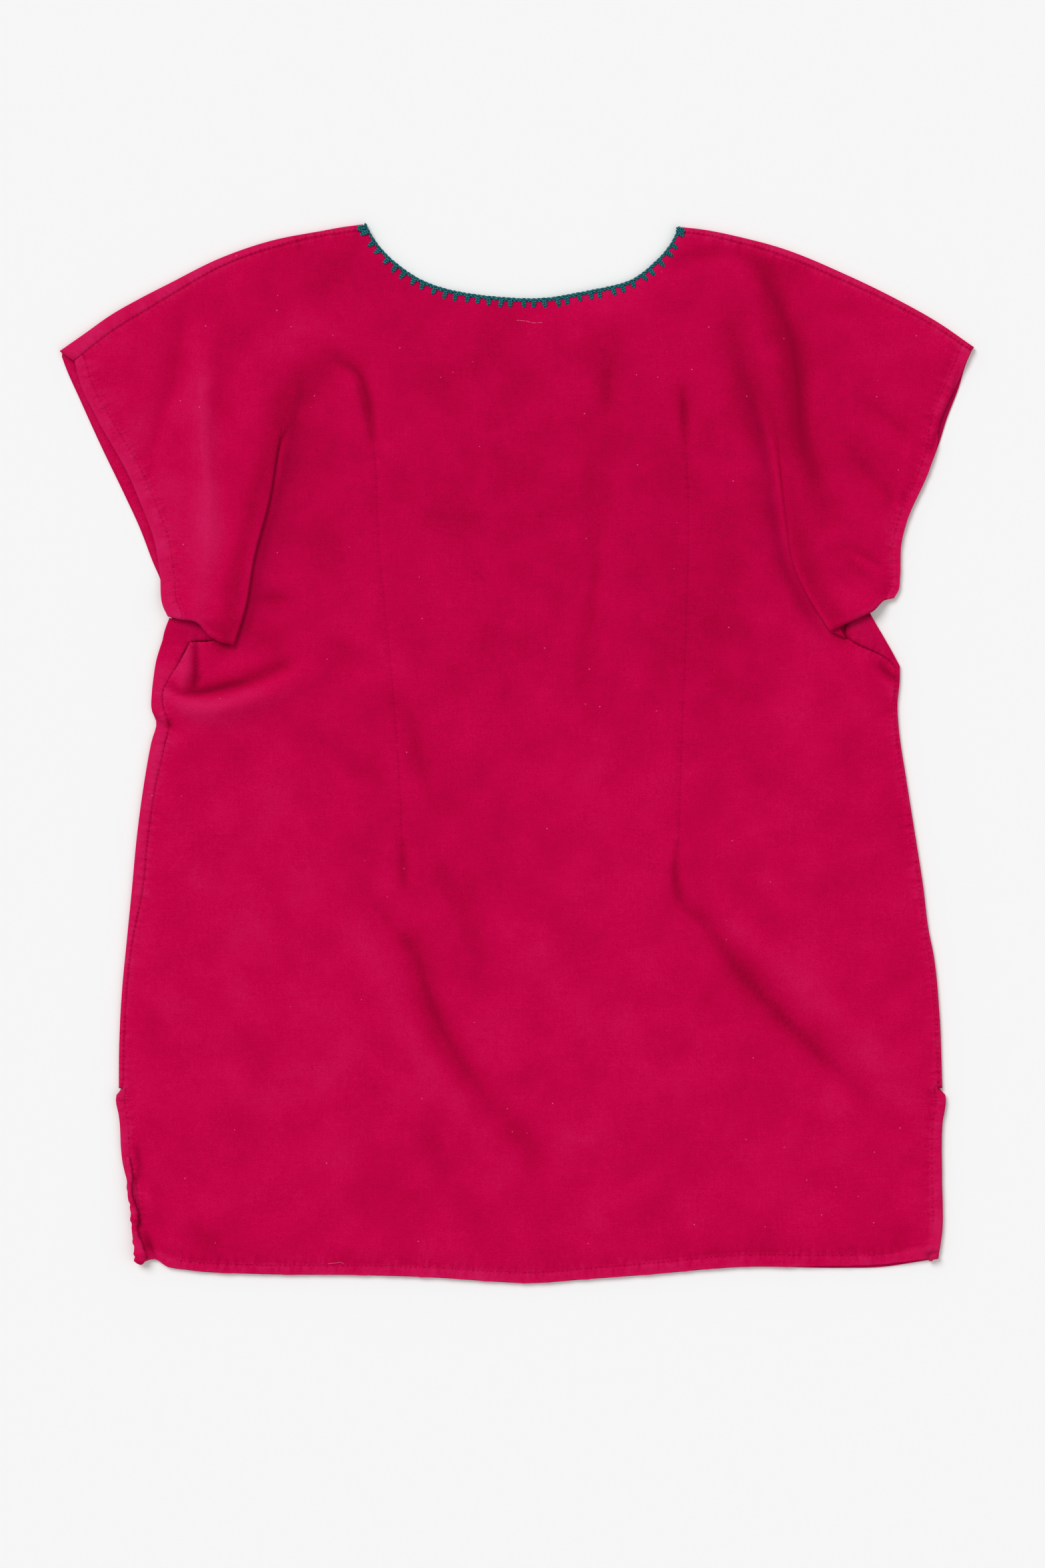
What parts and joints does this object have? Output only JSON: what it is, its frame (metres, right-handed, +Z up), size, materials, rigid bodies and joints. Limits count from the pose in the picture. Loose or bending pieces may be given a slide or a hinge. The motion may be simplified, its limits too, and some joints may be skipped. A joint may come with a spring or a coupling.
{
  "type": "embroidered top",
  "caption": "Short-sleeved scoop-neck cotton blouse laid flat and face down, with kimono sleeves, underarm pleats, long back darts, side vents and a hand-stitched neck edging",
  "frame": {"origin": "below the middle of the garment, on the surface it lies on", "axes": "+X towards the sleeve on the right as seen from above, +Y from the hem to the neck, +Z up from the surface"},
  "size_m": [0.5902, 0.6841, 0.0077],
  "materials": {
    "cloth": "matt plain-weave cotton, garment-dyed crimson, faded along the seams",
    "thread": "teal twisted cotton embroidery thread with a soft sheen"
  },
  "bodies": {
    "root": {"back_panel": "cloth", "front_panel": "cloth", "neck_edging": "thread"}
  },
  "joints": []
}
